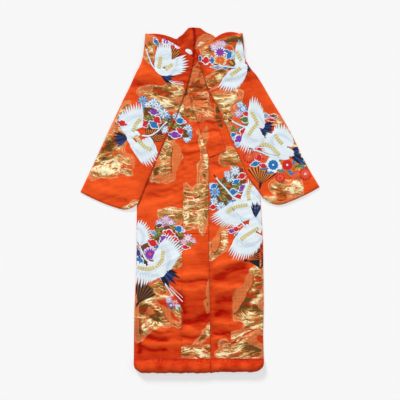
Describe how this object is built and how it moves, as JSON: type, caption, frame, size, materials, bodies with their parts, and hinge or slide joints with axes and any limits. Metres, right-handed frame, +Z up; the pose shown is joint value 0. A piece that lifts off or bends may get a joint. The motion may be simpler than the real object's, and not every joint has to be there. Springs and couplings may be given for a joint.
{
  "type": "uchikake wedding kimono laid flat",
  "caption": "Padded silk brocade outer robe laid flat on its back, right front over left, sleeves folded in over the fronts and fanned out, with a thick padded hem roll.",
  "frame": {"origin": "centre of the footprint on the surface it lies on", "axes": "+Y towards the collar, +X towards the wearer's left, +Z up from the surface"},
  "size_m": [1.326, 1.9139, 0.0467],
  "materials": {
    "silk_brocade": "satin silk brocade, orange-red with woven metallic gold clouds and raised embroidery",
    "collar_silk": "satin silk brocade, folded band",
    "hem_silk": "plain lining silk over cotton padding, satin"
  },
  "bodies": {
    "root": {"body_right": "silk_brocade", "body_left": "silk_brocade", "okumi_right": "silk_brocade", "okumi_left": "silk_brocade", "collar_right": "collar_silk", "collar_left": "collar_silk", "sleeve_right": "silk_brocade", "sleeve_left": "silk_brocade", "hem_roll_back": "hem_silk", "hem_roll_right": "hem_silk", "hem_roll_left": "hem_silk"}
  },
  "joints": []
}
